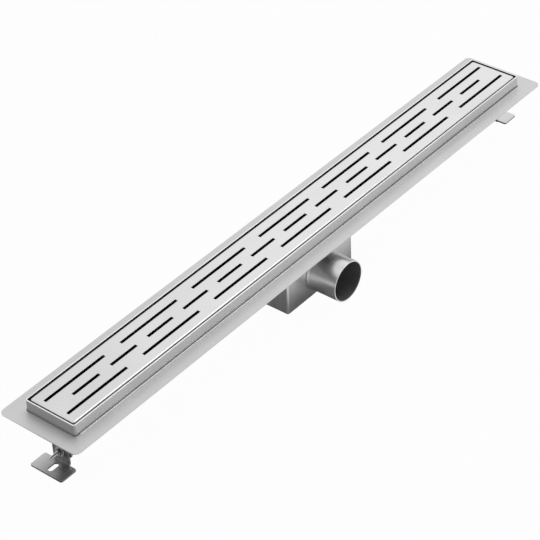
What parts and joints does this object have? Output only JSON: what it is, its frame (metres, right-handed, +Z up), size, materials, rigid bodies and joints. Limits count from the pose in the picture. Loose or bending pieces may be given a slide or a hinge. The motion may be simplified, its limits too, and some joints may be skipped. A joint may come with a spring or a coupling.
{
  "type": "linear shower drain",
  "caption": "Long stainless floor drain with a slotted cover, a flange for the waterproofing, a trap with a side outlet and height-adjustable feet.",
  "frame": {"origin": "centre of the trap box's flat underside, on which the drain rests", "axes": "+X along the channel, -Y the way the outlet pipe points, +Z up through the cover"},
  "size_m": [0.84, 0.1285, 0.08],
  "materials": {
    "channel_steel": "satin brushed stainless sheet",
    "cover_steel": "fine brushed stainless sheet, bright bends",
    "trap_steel": "plain mill finish stainless sheet",
    "foot_steel": "punched and folded stainless sheet",
    "fastener_steel": "bright turned stainless",
    "trap_plastic": "moulded pale grey",
    "seal_rubber": "matt black"
  },
  "bodies": {
    "drain": {"channel_body": "channel_steel", "cover_grate": "cover_steel", "cover_rest_1": "channel_steel", "cover_rest_2": "channel_steel", "cover_rest_3": "channel_steel", "cover_rest_4": "channel_steel", "cover_rest_5": "channel_steel", "cover_rest_6": "channel_steel", "cover_rest_7": "channel_steel", "cover_rest_8": "channel_steel", "cup_seal": "seal_rubber", "dip_tube": "trap_plastic", "hair_strainer": "cover_steel", "left_bolt": "fastener_steel", "left_bracket": "foot_steel", "left_nut": "fastener_steel", "left_washer": "fastener_steel", "mounting_flange": "channel_steel", "outlet_pipe": "trap_steel", "right_bolt": "fastener_steel", "right_bracket": "foot_steel", "right_nut": "fastener_steel", "right_washer": "fastener_steel", "trap_box": "trap_steel", "trap_cup": "trap_plastic"},
    "left_foot": {"left_foot": "foot_steel"},
    "right_foot": {"right_foot": "foot_steel"}
  },
  "joints": [
    {"name": "left_foot_height", "type": "slide", "parent": "drain", "child": "left_foot", "axis": [0, 0, -1], "range_m": [-0.003, 0.016]},
    {"name": "right_foot_height", "type": "slide", "parent": "drain", "child": "right_foot", "axis": [0, 0, -1], "range_m": [-0.003, 0.016]}
  ]
}
